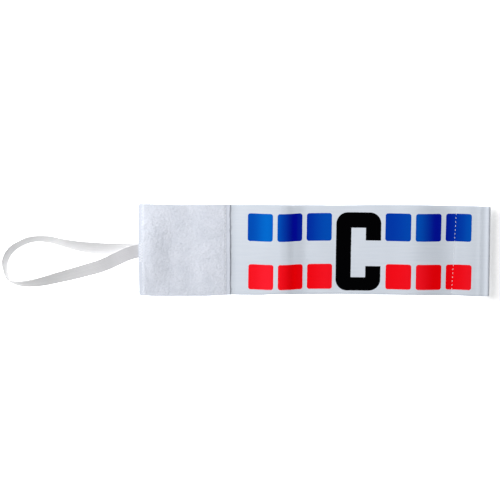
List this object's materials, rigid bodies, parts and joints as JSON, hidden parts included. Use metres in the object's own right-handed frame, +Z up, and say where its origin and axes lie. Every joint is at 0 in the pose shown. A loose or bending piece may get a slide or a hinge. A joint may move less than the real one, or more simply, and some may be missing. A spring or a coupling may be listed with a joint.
{
  "type": "captain armband",
  "caption": "Flat captain armband: wide elastic band with a stitched hem, fleece patch, hook patch and a narrow elastic finger loop.",
  "frame": {"origin": "middle of the band's length, on its underside, where it lies on the table", "axes": "+X along the band towards the hem, +Y across the band, +Z up through the printed side"},
  "size_m": [0.4558, 0.0869, 0.0126],
  "materials": {
    "knitted_elastic": "matt knit with satin print",
    "loop_fleece": "fuzzy",
    "hook_tape": "stiff woven hooks",
    "braided_elastic": "ribbed"
  },
  "bodies": {
    "root": {"band": "knitted_elastic", "fleece_patch": "loop_fleece", "hook_patch": "hook_tape", "elastic_loop": "braided_elastic"}
  },
  "joints": []
}
